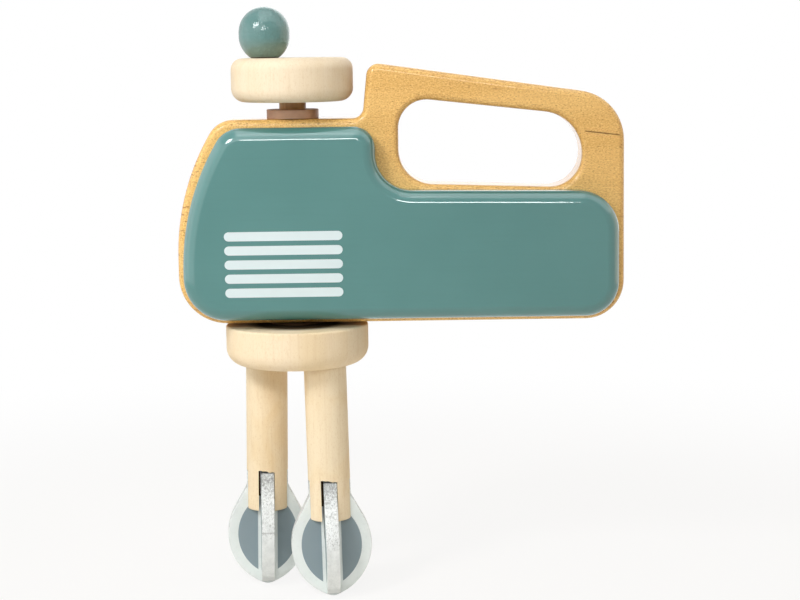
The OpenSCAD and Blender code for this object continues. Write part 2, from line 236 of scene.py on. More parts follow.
def blend(material, share, first, second):
    """Mixes two colours: the first where the share is 0, the second where it is 1."""
    return add(material, "Mix", {0: share, 6: first, 7: second}, data_type="RGBA").outputs[2]


def link(material, output, shader, socket):
    """Links a node's output to one of the shader's sockets."""
    material.node_tree.links.new(output, shader.inputs[socket])


def bump(material, shader, height, depth):
    """Raises the surface by height, times depth in metres, and gives the new normal."""
    node = add(material, "Bump", {"Height": height, "Distance": depth, "Strength": 1})
    link(material, node.outputs["Normal"], shader, "Normal")
    return node.outputs["Normal"]


def axes(material, place):
    """The x, y and z of a place."""
    return add(material, "SeparateXYZ", {0: place}).outputs


handle_board = plate("handle_board_shaped", rounded(board_corners), board_low.y, board_high.y)
opening_cutter = plate("opening_cutter", rounded(opening_corners), board_low.y - MM, board_high.y + MM)
cut_away(handle_board, opening_cutter)
round_edges(handle_board, board_round * MM, 6, lambda co: True)
smooth(handle_board)

beech_light, beech_dark = (0.845, 0.525, 0.178, 1), (0.74, 0.43, 0.124, 1)
grain_brown = (0.64, 0.35, 0.108, 1)
speckle_light, speckle_dark = (0.99, 0.725, 0.28, 1), (0.47, 0.23, 0.066, 1)
fleck_brown = (0.36, 0.165, 0.04, 1)
streak_brown = (0.40, 0.17, 0.05, 1)
beech, beech_shader, beech_place = new_material("golden_beech")
beech_figure = noise(beech, beech_place, (9, 40, 70), detail=3, distortion=0.6)
beech_grain = noise(beech, beech_place, (70, 900, 1100), detail=4, roughness=0.6)
beech_speckle = noise(beech, beech_place, (1300, 2100, 2100), detail=2, roughness=0.7)
beech_flecks = span(beech, noise(beech, beech_place, (750, 1700, 1700), detail=2), 0.60, 0.72)
beech_streaks = span(beech, noise(beech, beech_place, (75, 300, 900), detail=2), 0.69, 0.76)
beech_x, beech_y, beech_z = axes(beech, beech_place)
beech_colour = blend(beech, span(beech, beech_figure, 0.3, 0.7), beech_light, beech_dark)
beech_colour = blend(beech, span(beech, beech_grain, 0.35, 0.75, 0, 0.40), beech_colour, grain_brown)
beech_colour = blend(beech, span(beech, beech_speckle, 0.52, 0.30, 0, 0.6), beech_colour, speckle_light)
beech_colour = blend(beech, span(beech, beech_speckle, 0.50, 0.72, 0, 0.72), beech_colour, speckle_dark)
beech_colour = blend(beech, sums(beech, "MULTIPLY", beech_flecks, 0.72), beech_colour, fleck_brown)
beech_colour = blend(beech, sums(beech, "MULTIPLY", beech_streaks, 0.45), beech_colour, streak_brown)

# The rounded edges are painted browner, as painted shade on the rounding, from partway round it inwards
edge_shade_brown = (0.38, 0.18, 0.04, 1)
edge_start = 0.4 * board_round
edge_depth = sums(beech, "SUBTRACT", board_high.y, sums(beech, "ABSOLUTE", beech_y, 0))
edge_shade_share = span(beech, edge_depth, edge_start * MM, board_round * MM, 0, 0.65)
beech_colour = blend(beech, edge_shade_share, beech_colour, edge_shade_brown)

# A fine split in the back of the handle, from near the opening almost to the heel
split_brown = (0.13, 0.045, 0.005, 1)
split_x, split_z = 68.4 * MM, 175.6 * MM
split_slope = -0.124
split_half = 0.3 * MM
split_fade, split_end = board_high.x - 2.4 * MM, board_high.x - 1.2 * MM
split_run = sums(beech, "SUBTRACT", beech_x, split_x)
split_line = sums(beech, "ADD", split_z, sums(beech, "MULTIPLY", split_run, split_slope))
split_off = sums(beech, "ABSOLUTE", sums(beech, "SUBTRACT", beech_z, split_line), 0)
split_begun = span(beech, beech_x, split_x, split_x + MM)
split_length = sums(beech, "MULTIPLY", split_begun, span(beech, beech_x, split_end, split_fade))
split = sums(beech, "MULTIPLY", span(beech, split_off, split_half, 0.5 * split_half), split_length)
beech_colour = blend(beech, sums(beech, "MULTIPLY", split, 0.85), beech_colour, split_brown)

# Dark rays in the wood of the nose
ray_brown = (0.30, 0.125, 0.03, 1)
rays_start, rays_full = -70 * MM, -74 * MM
nose_rays = span(beech, noise(beech, beech_place, (230, 200, 1100), detail=2), 0.61, 0.67)
nose_rays = sums(beech, "MULTIPLY", nose_rays, span(beech, beech_x, rays_start, rays_full))
beech_colour = blend(beech, sums(beech, "MULTIPLY", nose_rays, 0.8), beech_colour, ray_brown)

link(beech, beech_colour, beech_shader, "Base Color")
link(beech, span(beech, beech_grain, 0.2, 0.8, 0.34, 0.46), beech_shader, "Roughness")
fleck_pits = sums(beech, "MULTIPLY", beech_flecks, -0.7)
beech_pits = sums(beech, "ADD", fleck_pits, sums(beech, "MULTIPLY", split, -0.3))
bump(beech, beech_shader, sums(beech, "ADD", beech_grain, beech_pits), 0.00006)
beech_shader.inputs["Specular IOR Level"].default_value = 0.1
beech_shader.inputs["Coat Weight"].default_value = 0.5
beech_shader.inputs["Coat Roughness"].default_value = 0.12
dress(handle_board, beech, "body", "beech", "handle_board")

# Covers: two solid wooden shells of one outline, their outer edge rounded over and painted in several
# coats of semi-gloss teal. One is glued and dowelled to each face of the board.
cover_round = 4.8
cover_nose = 2.6
cover_heel = board_length - 2.7
cover_foot = 2.1
cover_top = block_height - 2.8
cover_neck = post + 4.7
cover_bow_r = 92
cover_bow = 20.7 + cover_bow_r * math.tan(nose_lean / 2)
cover_nose_top = cover_nose + (cover_top - cover_bow) * math.tan(nose_lean)
cover_tail = cover_top - 23.5
cover_tail_drop = 1.3

# A point this close to a plane counts as lying on it
on_plane = 0.01 * MM

# Corners of the outline, as x, z and radius from the foot of the board's nose
cover_corners = [
    (cover_nose, cover_foot, 16),
    (cover_heel, cover_foot, 12.6),
    (cover_heel, cover_tail - cover_tail_drop, 15),
    (cover_neck, cover_tail, 13.5),
    (cover_neck, cover_top, 8),
    (cover_nose_top, cover_top, 10.5),
    (cover_nose, cover_bow, cover_bow_r),
]
grain_teal = (0.038, 0.160, 0.147, 1)


def teal_paint(name, light, dark, coat, gloss, relief, pores):
    """Teal paint over wood in two shades: the weight and roughness of its top coat, and the depth and the
    cells to the metre of its relief. Gives the material with its shader, its coordinates and its colour."""
    teal, shader, place = new_material(name)
    cloud = noise(teal, place, (30, 30, 30), detail=2)
    peel = noise(teal, place, (pores, pores, pores), detail=2)
    grain = noise(teal, place, (40, 40, 700), detail=3)
    colour = blend(teal, span(teal, cloud, 0.3, 0.7), light, dark)
    colour = blend(teal, span(teal, grain, 0.45, 0.8, 0, 0.12), colour, grain_teal)
    link(teal, colour, shader, "Base Color")
    link(teal, span(teal, peel, 0.2, 0.8, 0.38, 0.46), shader, "Roughness")
    brushed = bump(teal, shader, sums(teal, "ADD", peel, sums(teal, "MULTIPLY", grain, 0.4)), relief)
    link(teal, brushed, shader, "Coat Normal")
    shader.inputs["Specular IOR Level"].default_value = 0.1
    shader.inputs["Coat Weight"].default_value = coat
    shader.inputs["Coat IOR"].default_value = 1.7
    shader.inputs["Coat Roughness"].default_value = gloss
    return teal, shader, place, colour


cover_light, cover_dark = (0.049, 0.190, 0.181, 1), (0.056, 0.202, 0.193, 1)
cover_paint = teal_paint(
    "teal_paint", cover_light, cover_dark, coat=1.0, gloss=0.04, relief=0.000025, pores=420)[0]
for side, inner_y in (("front", board_low.y), ("rear", board_high.y)):
    low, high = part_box(side + "_cover")
    outer_y = low.y if side == "front" else high.y
    cover = plate(side + "_cover_shaped", rounded(cover_corners), inner_y, outer_y)
    round_edges(cover, cover_round * MM, 12, lambda co: abs(co.y - outer_y) < on_plane, profile=0.45)
    smooth(cover)
    dress(cover, cover_paint, "body", "teal_paint", side + "_cover")

# Stripes: a vent grille hinted at by five white bars with round ends, screen printed on the front cover.
# The ink stands a hair's breadth above the paint.
stripe_length = 43.6
stripe_height = 3.4
stripe_pitch = 5.23
stripe_left = 18.4
stripe_lowest = 13.0
stripe_count = 5
ink_thick = 0.06
ink_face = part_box("front_cover")[0].y
ink_light, ink_dark = (0.645, 0.745, 0.77, 1), (0.615, 0.715, 0.74, 1)

ink, ink_shader, ink_place = new_material("white_ink")
ink_mottle = noise(ink, ink_place, (300, 300, 300), detail=3)
link(ink, blend(ink, ink_mottle, ink_dark, ink_light), ink_shader, "Base Color")
link(ink, span(ink, ink_mottle, 0.3, 0.7, 0.34, 0.44), ink_shader, "Roughness")
bump(ink, ink_shader, noise(ink, ink_place, (900, 900, 900), detail=2), 0.00002)


def join(pieces):
    """Joins the pieces to the first of them."""
    pick(pieces[0])
    for piece in pieces[1:]:
        piece.select_set(True)
    bpy.ops.object.join()
    return pieces[0]


# A radius of just under half the height leaves a short straight between the two corners of an end
stripe_end = 0.999 * stripe_height / 2
stripe_right = stripe_left + stripe_length
stripes = []
for row in range(stripe_count):
    low_z = stripe_lowest - stripe_height / 2 + row * stripe_pitch
    corners = [
        (stripe_left, low_z, stripe_end),
        (stripe_right, low_z, stripe_end),
        (stripe_right, low_z + stripe_height, stripe_end),
        (stripe_left, low_z + stripe_height, stripe_end),
    ]
    stripes.append(plate("vent_stripe", rounded(corners), ink_face, ink_face - ink_thick * MM))
vent_stripes = join(stripes)
vent_stripes.name = vent_stripes.data.name = "vent_stripes"
vent_stripes.data.materials.append(ink)
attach(vent_stripes, "body")

# Dowels and peg: plain wooden pins, glued in, that hold the covers to the board and the ball to its disc.
# They don't show once the toy is glued up.
pin_light, pin_dark = (0.74, 0.55, 0.32, 1), (0.62, 0.43, 0.22, 1)
pin_wood, pin_shader, pin_place = new_material("pin_wood")
pin_grain = noise(pin_wood, pin_place, (500, 60, 500), detail=3)
link(pin_wood, blend(pin_wood, pin_grain, pin_light, pin_dark), pin_shader, "Base Color")
link(pin_wood, span(pin_wood, pin_grain, 0.2, 0.8, 0.55, 0.7), pin_shader, "Roughness")
bump(pin_wood, pin_shader, pin_grain, 0.0001)


def dress_node(name, material):
    """Gives a CAD node's own mesh another material."""
    materials = frame["nodes"][name].data.materials
    materials.clear()
    materials.append(material)


dress_node("cover_dowels", pin_wood)
dress_node("ball_peg", pin_wood)

# Bushes: two flanged sleeves of taupe plastic, pushed into the board from above and below. The shaft
# runs in them, and the upper flange shows as a square collar.
shaft_x, shaft_y = frame["joints"][0]["pos_m"][:2]
sleeve_r = 6.58
bore_r = 5.08
flange_edge = 0.25


def rod(name, radius, low, high, sides=128, axis=(shaft_x, shaft_y)):
    """An upright rod from z = low to z = high, round the shaft's axis or another one."""
    bpy.ops.object.select_all(action="DESELECT")
    middle = (*axis, (low + high) / 2)
    bpy.ops.mesh.primitive_cylinder_add(vertices=sides, radius=radius, depth=high - low, location=middle)
    bpy.ops.object.transform_apply(location=True, rotation=True, scale=True)
    piece = bpy.context.object
    piece.name = piece.data.name = name
    return piece


def pick_faces(piece, chosen):
    """Opens the piece in edit mode with only the chosen faces selected, by their middle and normal."""
    edit(piece)
    bpy.ops.mesh.select_mode(type="FACE")
    bpy.ops.mesh.select_all(action="DESELECT")
    bpy.ops.object.mode_set(mode="OBJECT")
    for face in piece.data.polygons:
        face.select = chosen(face.center, face.normal)
    bpy.ops.object.mode_set(mode="EDIT")


def bush_plastic(name, light, dark, sheen):
    """Moulded plastic in two shades, with a faint cloud and fine turning marks, as shiny as its sheen."""
    material, shader, place = new_material(name)
    cloud = noise(material, place, (160, 160, 160), detail=3)
    link(material, blend(material, span(material, cloud, 0.3, 0.7), light, dark), shader, "Base Color")
    link(material, span(material, cloud, 0.3, 0.7, 0.42, 0.55), shader, "Roughness")
    shader.inputs["Specular IOR Level"].default_value = sheen
    bump(material, shader, noise(material, place, (60, 60, 2500), detail=2), 0.00003)
    return material


taupe = bush_plastic("taupe_plastic", (0.55, 0.315, 0.20, 1), (0.45, 0.255, 0.16, 1), sheen=0.5)
# The lower bush is drawn near black, as painted shade in the narrow gap above the whisk disc
painted_shade_taupe = bush_plastic(
    "painted_shade_taupe_plastic", (0.10, 0.055, 0.03, 1), (0.07, 0.04, 0.02, 1), sheen=0.05)
for name, up in (("upper_bush", 1), ("lower_bush", -1)):
    low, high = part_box(name)
    flange_r = (high.x - low.x) / 2
    sleeve_end = low.z if up > 0 else high.z
    seat = board_low.z if up < 0 else foot_z + block_height * MM
    outer = high.z if up > 0 else low.z
    bush = rod(name + "_turned", flange_r, min(seat, outer), max(seat, outer))
    round_edges(bush, flange_edge * MM, 3, lambda co: True)
    pick_faces(bush, lambda middle, normal: normal.z * up < -0.9 and abs(middle.z - seat) < on_plane)
    bpy.ops.mesh.inset(thickness=flange_r - flange_edge * MM - sleeve_r * MM)
    bpy.ops.mesh.extrude_region_move(TRANSFORM_OT_translate={"value": (0, 0, sleeve_end - seat)})
    bpy.ops.mesh.inset(thickness=(sleeve_r - bore_r) * MM)
    bpy.ops.object.mode_set(mode="OBJECT")
    pick_faces(bush, lambda middle, normal: normal.z * up > 0.9 and abs(middle.z - outer) < on_plane)
    bpy.ops.mesh.inset(thickness=flange_r - flange_edge * MM - bore_r * MM)
    bpy.ops.object.mode_set(mode="OBJECT")
    ends = (sleeve_end, outer)
    axis = Vector((shaft_x, shaft_y))
    pick_faces(bush, lambda middle, normal: min(abs(middle.z - z) for z in ends) < on_plane
               and (middle.xy - axis).length < 0.1 * MM)
    bpy.ops.mesh.bridge_edge_loops()
    bpy.ops.object.mode_set(mode="OBJECT")
    smooth(bush)
    dress(bush, taupe if up > 0 else painted_shade_taupe, "body", "bush", name)

# Drive shaft: a brown wooden dowel rod, glued into both discs, that turns in the bushes.
# It shows for a few millimetres between the collar and the crank disc.
shaft_light, shaft_dark = (0.70, 0.43, 0.18, 1), (0.52, 0.29, 0.11, 1)
shaft_grain_brown = (0.30, 0.15, 0.05, 1)
shaft_wood, shaft_shader, shaft_place = new_material("brown_dowel")
shaft_grain = noise(shaft_wood, shaft_place, (900, 900, 40), detail=4)
shaft_bands = noise(shaft_wood, shaft_place, (180, 180, 8), detail=2)
shaft_lines = span(shaft_wood, shaft_grain, 0.45, 0.8, 0, 0.5)
shaft_colour = blend(shaft_wood, span(shaft_wood, shaft_bands, 0.3, 0.7), shaft_light, shaft_dark)
shaft_colour = blend(shaft_wood, shaft_lines, shaft_colour, shaft_grain_brown)
link(shaft_wood, shaft_colour, shaft_shader, "Base Color")
link(shaft_wood, span(shaft_wood, shaft_grain, 0.2, 0.8, 0.45, 0.6), shaft_shader, "Roughness")
bump(shaft_wood, shaft_shader, shaft_grain, 0.00008)
dress_node("drive_shaft", shaft_wood)

# Whisk disc and crank disc: slices of pale, close grained wood, turned on the lathe with rounded rims.
# The rod they are cut from runs upright, so the rims show long grain and the flats show end grain.
whisk_disc_rims = (0.8, 6.4)
crank_disc_rims = (4.2, 5.0)
# The whisk disc's top is painted dark round the shaft, as painted shade for the narrow gap under the body
shade_brown = (0.045, 0.02, 0.008, 1)
shade_inner, shade_outer = 14, 21


def turned_disc(node, rims, material):
    """A turned disc in the place of a node, with the radii of its upper and its lower rim."""
    low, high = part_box(node)
    disc = rod(node + "_turned", (high.x - low.x) / 2, low.z, high.z, sides=160)
    top_r, foot_r = rims
    round_edges(disc, top_r * MM, 8, lambda co: co.z > high.z - on_plane)
    round_edges(disc, foot_r * MM, 14, lambda co: co.z < low.z + on_plane)
    smooth(disc)
    dress(disc, material, "rotor", "pale_wood", node)


def pale_wood(name, light, dark, sheen, shaded_z=None):
    """Pale wood with upright grain: bands, warm patches, fine lines, a speckle and pores.
    A face as high as shaded_z gets painted shade: a dark ring round the shaft."""
    material, shader, place = new_material(name)
    bands = noise(material, place, (55, 55, 5), detail=3, distortion=1.2)
    lines = noise(material, place, (900, 900, 25), detail=4, roughness=0.6)
    pores = span(material, noise(material, place, (1500, 1500, 170), detail=2), 0.6, 0.75)
    speckle = noise(material, place, (2000, 2000, 1100), detail=2, roughness=0.7)
    colour = blend(material, span(material, bands, 0.36, 0.78), light, dark)
    patches = noise(material, place, (75, 75, 50), detail=2, distortion=0.8)
    warm = (dark[0], dark[1] * 0.95, dark[2] * 0.8, 1)
    colour = blend(material, span(material, patches, 0.5, 0.72, 0, 0.3), colour, warm)
    brown = (dark[0] * 0.78, dark[1] * 0.66, dark[2] * 0.48, 1)
    colour = blend(material, span(material, lines, 0.45, 0.8, 0, 0.22), colour, brown)
    colour = blend(material, span(material, speckle, 0.5, 0.75, 0, 0.3), colour, brown)
    colour = blend(material, sums(material, "MULTIPLY", pores, 0.2), colour, brown)
    if shaded_z is not None:
        x, y, z = axes(material, place)
        off_x, off_y = sums(material, "SUBTRACT", x, shaft_x), sums(material, "SUBTRACT", y, shaft_y)
        off_axis = add(material, "CombineXYZ", {0: off_x, 1: off_y}).outputs[0]
        reach = add(material, "VectorMath", {0: off_axis}, operation="LENGTH").outputs["Value"]
        ring = span(material, reach, shade_outer * MM, shade_inner * MM)
        on_top = span(material, z, shaded_z - 0.3 * MM, shaded_z - 0.1 * MM)
        shade = sums(material, "MULTIPLY", sums(material, "MULTIPLY", ring, on_top), 0.9)
        colour = blend(material, shade, colour, shade_brown)
    link(material, colour, shader, "Base Color")
    link(material, span(material, lines, 0.2, 0.8, 0.50, 0.62), shader, "Roughness")
    shader.inputs["Specular IOR Level"].default_value = sheen
    height = sums(material, "ADD", lines, sums(material, "MULTIPLY", pores, -0.8))
    bump(material, shader, height, 0.00005)
    return material


whisk_disc_wood = pale_wood(
    "pale_whisk_disc_wood", (0.87, 0.735, 0.545, 1), (0.82, 0.665, 0.44, 1), sheen=0.0,
    shaded_z=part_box("whisk_disc")[1].z)
crank_disc_wood = pale_wood(
    "pale_crank_disc_wood", (0.83, 0.71, 0.535, 1), (0.79, 0.655, 0.465, 1), sheen=0.2)
turned_disc("whisk_disc", whisk_disc_rims, whisk_disc_wood)
turned_disc("crank_disc", crank_disc_rims, crank_disc_wood)

# Legs: two dowel rods of pale wood, glued into the whisk disc and leaning slightly apart. Two saw cuts
# cross in the foot of each and hold the blades, a little wider than the blades and torn at their ends.
leg_r = 8.0
leg_length = 65.2
leg_foot = 30.0
leg_chamfer = 0.6
leg_throw = 14.7
leg_angle = math.radians(-38)
leg_lean = math.radians(1)
legs_off_axis = 1.0
whisk_turn = math.radians(5)
slot_depth = 15.2
slot_near = 2.65
slot_far = 3.5
slot_torn = (0.0, 0.3, 0.1, 0.5, 0.75, 0.6, 0.9, 0.7)
overcut = 1.0
disc_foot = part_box("whisk_disc")[0].z


def leg_place(half_turn):
    """Where a leg and its blades go, from upright on the origin to leaning under the disc."""
    throw = leg_throw * MM
    spot = Vector((throw * math.cos(leg_angle), throw * math.sin(leg_angle), disc_foot))
    return (
        Matrix.Translation((shaft_x - legs_off_axis * MM, shaft_y, 0))
        @ Matrix.Rotation(half_turn, 4, "Z")
        @ Matrix.Translation(spot)
        @ Matrix.Rotation(-leg_lean, 4, "Y")
        @ Matrix.Translation((0, 0, -disc_foot))
        @ Matrix.Rotation(whisk_turn, 4, "Z")
    )


def slot_cutter(wide_side, far, torn_share):
    """A saw cut along Y, wider to the left (-1) or to the right (1) of the blade, with a torn end."""
    tight = -wide_side * slot_near
    wide = wide_side * far
    top = leg_foot + slot_depth
    below = (leg_foot - overcut) * MM
    points = [(wide * MM, below), (tight * MM, below)]
    for i, torn in enumerate(slot_torn):
        x = tight + (wide - tight) * i / (len(slot_torn) - 1)
        points.append((x * MM, (top + torn * torn_share) * MM))
    return plate("slot_cutter", points, -2 * leg_r * MM, 2 * leg_r * MM)


leg_wood = pale_wood("pale_leg_wood", (0.83, 0.705, 0.505, 1), (0.75, 0.585, 0.36, 1), sheen=0.4)
# Near black wood for the walls of the saw cuts and the blades inside them: painted shade in the slots
slot_shade_light, slot_shade_dark = (0.10, 0.055, 0.025, 1), (0.03, 0.015, 0.008, 1)
slot_shade_wood, slot_shade_shader, slot_shade_place = new_material("painted_slot_shade")
slot_shade_marks = noise(slot_shade_wood, slot_shade_place, (300, 300, 1500), detail=3)
link(slot_shade_wood, blend(slot_shade_wood, slot_shade_marks, slot_shade_light, slot_shade_dark), slot_shade_shader, "Base Color")
link(slot_shade_wood, span(slot_shade_wood, slot_shade_marks, 0.2, 0.8, 0.7, 0.85), slot_shade_shader, "Roughness")
bump(slot_shade_wood, slot_shade_shader, slot_shade_marks, 0.0001)
slot_shade_shader.inputs["Specular IOR Level"].default_value = 0.05

for side, half_turn, wide_side in (("front", 0, -1), ("rear", math.pi, 1)):
    leg_head = leg_foot + leg_length
    leg = rod(side + "_leg_sawn", leg_r * MM, leg_foot * MM, leg_head * MM, sides=96, axis=(0, 0))
    round_edges(leg, leg_chamfer * MM, 3, lambda co: co.z < leg_foot * MM + on_plane)
    cut_away(leg, slot_cutter(wide_side, slot_far, 1))
    cross_cutter = slot_cutter(wide_side, slot_near, 0)
    cross_cutter.data.transform(Matrix.Rotation(math.pi / 2, 4, "Z"))
    cut_away(leg, cross_cutter)

    # The walls of the cuts are square to X or Y, which no facet of the rod is
    slot_end = (leg_foot + slot_depth - 0.1) * MM
    sawn = []
    for face in leg.data.polygons:
        slot_wall = max(abs(face.normal.x), abs(face.normal.y)) > 0.9999
        sawn.append(slot_wall or (face.normal.z < -0.5 and face.center.z > slot_end))
    leg.data.transform(leg_place(half_turn))
    smooth(leg, angle=30)
    dress(leg, leg_wood, "rotor", "pale_wood", side + "_leg")
    leg.data.materials.append(slot_shade_wood)
    for face, is_sawn in zip(leg.data.polygons, sawn):
        face.material_index = 1 if is_sawn else 0

# Whisk blades: leaf shaped plywood, two to a leg and crossed in a half lap. They are sprayed silver, rough
# on the sawn edges, with two slate grey panels printed on each face, and painted dark inside the slots as
# shade.
blade_width = 30.6
blade_height = 45.0
blade_thick = 5.0
blade_side_r = 21.0
blade_tip_r = 4.5
blade_taper = math.radians(28)
blade_tenon = 7.9
blade_edge = 0.35
lap_height = 22.5
lap_gap = 0.2
slot_shade_half = 7.0
slot_shade_low = leg_foot + 5
panel_border = 3.8
panel_spine = 3.8
panel_thick = 0.08
blade_offset = blade_side_r - blade_width / 2
blade_belly = blade_tip_r + math.sqrt((blade_side_r - blade_tip_r) ** 2 - blade_offset ** 2)
tip_angle = math.asin((blade_belly - blade_tip_r) / (blade_side_r - blade_tip_r))


def arc(centre_x, centre_z, radius, start, end, steps):
    """Points along an arc, from one angle to another, anticlockwise from +X."""
    angles = [start + (end - start) * step / steps for step in range(steps + 1)]
    return [(centre_x + radius * math.cos(a), centre_z + radius * math.sin(a)) for a in angles]


def in_metres(points):
    """The same points, given in millimetres, in metres."""
    return [(x * MM, z * MM) for x, z in points]


def leaf_outline():
    """The blade's outline: round tip, two bowed sides, a straight taper and a tenon as wide as the leg."""
    right = arc(0, blade_tip_r, blade_tip_r, -math.pi / 2, -tip_angle, 6)
    right += arc(-blade_offset, blade_belly, blade_side_r, -tip_angle, blade_taper, 24)[1:]
    shoulder_x, shoulder_z = right[-1]
    right.append((blade_tenon, shoulder_z + (shoulder_x - blade_tenon) / math.tan(blade_taper)))
    right.append((blade_tenon, blade_height))
    return right + [(-x, z) for x, z in reversed(right[1:])]


def panel_outline(mirror):
    """Half a leaf: the side of the blade moved inwards, cut off by the silver spine."""
    radius = blade_side_r - panel_border
    reach = math.acos((panel_spine + blade_offset) / radius)
    points = arc(-blade_offset, blade_belly, radius, -reach, reach, 28)
    return [(mirror * x, z) for x, z in points]


silver_light, silver_dark = (0.745, 0.795, 0.785, 1), (0.68, 0.735, 0.725, 1)
silver_spots = (0.50, 0.54, 0.53, 1)
silver, silver_shader, silver_place = new_material("silver_paint")
silver_cloud = noise(silver, silver_place, (90, 90, 90), detail=2)
silver_spray = noise(silver, silver_place, (900, 900, 900), detail=3)
silver_colour = blend(silver, span(silver, silver_cloud, 0.3, 0.7), silver_light, silver_dark)
silver_colour = blend(silver, span(silver, silver_spray, 0.55, 0.8, 0, 0.25), silver_colour, silver_spots)
link(silver, silver_colour, silver_shader, "Base Color")
silver_shader.inputs["Metallic"].default_value = 0.25
link(silver, span(silver, silver_spray, 0.2, 0.8, 0.42, 0.58), silver_shader, "Roughness")
bump(silver, silver_shader, silver_spray, 0.00004)

# The sawn edges show through the paint like crumpled foil, from about the lap up and most at the top.
# On the rear leg the paint has a ridge across the edge at the lap.
foil_light, foil_dark = (0.755, 0.785, 0.785, 1), (0.655, 0.69, 0.69, 1)
foil_grey = (0.20, 0.21, 0.21, 1)
ridge_grey = (0.30, 0.31, 0.31, 1)
ridge_z, ridge_core, ridge_half = 23.2 * MM, 0.1 * MM, 0.4 * MM
ridge_start, ridge_full = -40 * MM, -44 * MM
foil, foil_shader, foil_place = new_material("silver_paint_on_sawn_edges")
foil_x, _, foil_z = axes(foil, foil_place)
foil_upper = span(foil, foil_z, 19 * MM, 24 * MM)
foil_top = span(foil, foil_z, 34 * MM, 44 * MM)
foil_crumple = noise(foil, foil_place, (1500, 1500, 1100), detail=4, roughness=0.8, distortion=0.5)
foil_folds = noise(foil, foil_place, (330, 330, 260), detail=3, roughness=0.6)
foil_colour = blend(foil, span(foil, foil_folds, 0.3, 0.7), foil_light, foil_dark)
foil_marks = span(foil, sums(foil, "ADD", foil_crumple, sums(foil, "MULTIPLY", foil_top, 0.10)), 0.46, 0.70)
foil_share = sums(foil, "ADD", sums(foil, "MULTIPLY", foil_upper, 0.65), 0.12)
foil_colour = blend(foil, sums(foil, "MULTIPLY", foil_marks, foil_share), foil_colour, foil_grey)
ridge_off = sums(foil, "ABSOLUTE", sums(foil, "SUBTRACT", foil_z, ridge_z), 0)
ridge = span(foil, ridge_off, ridge_half, ridge_core)
ridge = sums(foil, "MULTIPLY", ridge, span(foil, foil_x, ridge_start, ridge_full))
foil_colour = blend(foil, sums(foil, "MULTIPLY", ridge, 0.5), foil_colour, ridge_grey)
link(foil, foil_colour, foil_shader, "Base Color")
foil_shader.inputs["Metallic"].default_value = 0.2
link(foil, span(foil, foil_crumple, 0.2, 0.8, 0.42, 0.6), foil_shader, "Roughness")
foil_relief = sums(foil, "MULTIPLY", foil_crumple, sums(foil, "ADD", foil_upper, 0.2))
bump(foil, foil_shader, foil_relief, 0.00016)

slate_light, slate_dark = (0.235, 0.300, 0.330, 1), (0.205, 0.270, 0.300, 1)
slate, slate_shader, slate_place = new_material("slate_print")
slate_cloud = noise(slate, slate_place, (120, 120, 120), detail=3)
link(slate, blend(slate, slate_cloud, slate_dark, slate_light), slate_shader, "Base Color")
link(slate, span(slate, slate_cloud, 0.3, 0.7, 0.42, 0.52), slate_shader, "Roughness")
bump(slate, slate_shader, noise(slate, slate_place, (1200, 1200, 1200), detail=2), 0.00002)


def whisk_blade(name, notch_low, notch_high):
    """A blade upright on the origin, facing -Y, notched for its partner, with its four printed panels."""
    half = blade_thick / 2 * MM
    blade = plate(name, in_metres(leaf_outline()), -half, half)
    round_edges(blade, blade_edge * MM, 3, lambda co: True)
    notch = blade_thick / 2 + lap_gap
    corners = [(-notch, notch_low), (notch, notch_low), (notch, notch_high), (-notch, notch_high)]
    cut_away(blade, plate("lap_cutter", in_metres(corners), -2 * half, 2 * half))
    # The blade's faces inside the leg's slot are painted dark, as painted shade
    slot_shade_border = (
        ((0, 0, slot_shade_low), (0, 0, 1)),
        ((-slot_shade_half, 0, 0), (1, 0, 0)),
        ((slot_shade_half, 0, 0), (1, 0, 0)),
    )
    edit(blade)
    for place, normal in slot_shade_border:
        bpy.ops.mesh.select_all(action="SELECT")
        bpy.ops.mesh.bisect(plane_co=Vector(place) * MM, plane_no=normal)
    bpy.ops.object.mode_set(mode="OBJECT")
    smooth(blade, angle=30)
    for paint in (silver, foil, slot_shade_wood):
        blade.data.materials.append(paint)
    for face in blade.data.polygons:
        in_slot = face.center.z > slot_shade_low * MM and abs(face.center.x) < slot_shade_half * MM
        if abs(face.normal.y) > 0.9:
            face.material_index = 2 if in_slot else 0
        else:
            face.material_index = 1
    pieces = [blade]
    for mirror in (-1, 1):
        for near in (-half, half):
            far = near + math.copysign(panel_thick * MM, near)
            panel = plate("panel", in_metres(panel_outline(mirror)), near, far)
            panel.data.materials.append(slate)
            pieces.append(panel)
    return join(pieces)


for side, half_turn in (("front", 0), ("rear", math.pi)):
    for kind, turn, low, high in (
        ("_whisk_blade", 0, lap_height - lap_gap, blade_height + overcut),
        ("_whisk_cross_blade", math.pi / 2, -overcut, lap_height),
    ):
        blade = whisk_blade(side + kind + "_painted", low, high)
        blade.data.transform(leg_place(half_turn) @ Matrix.Rotation(turn, 4, "Z"))
        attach(blade, "rotor")
        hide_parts(side + kind)

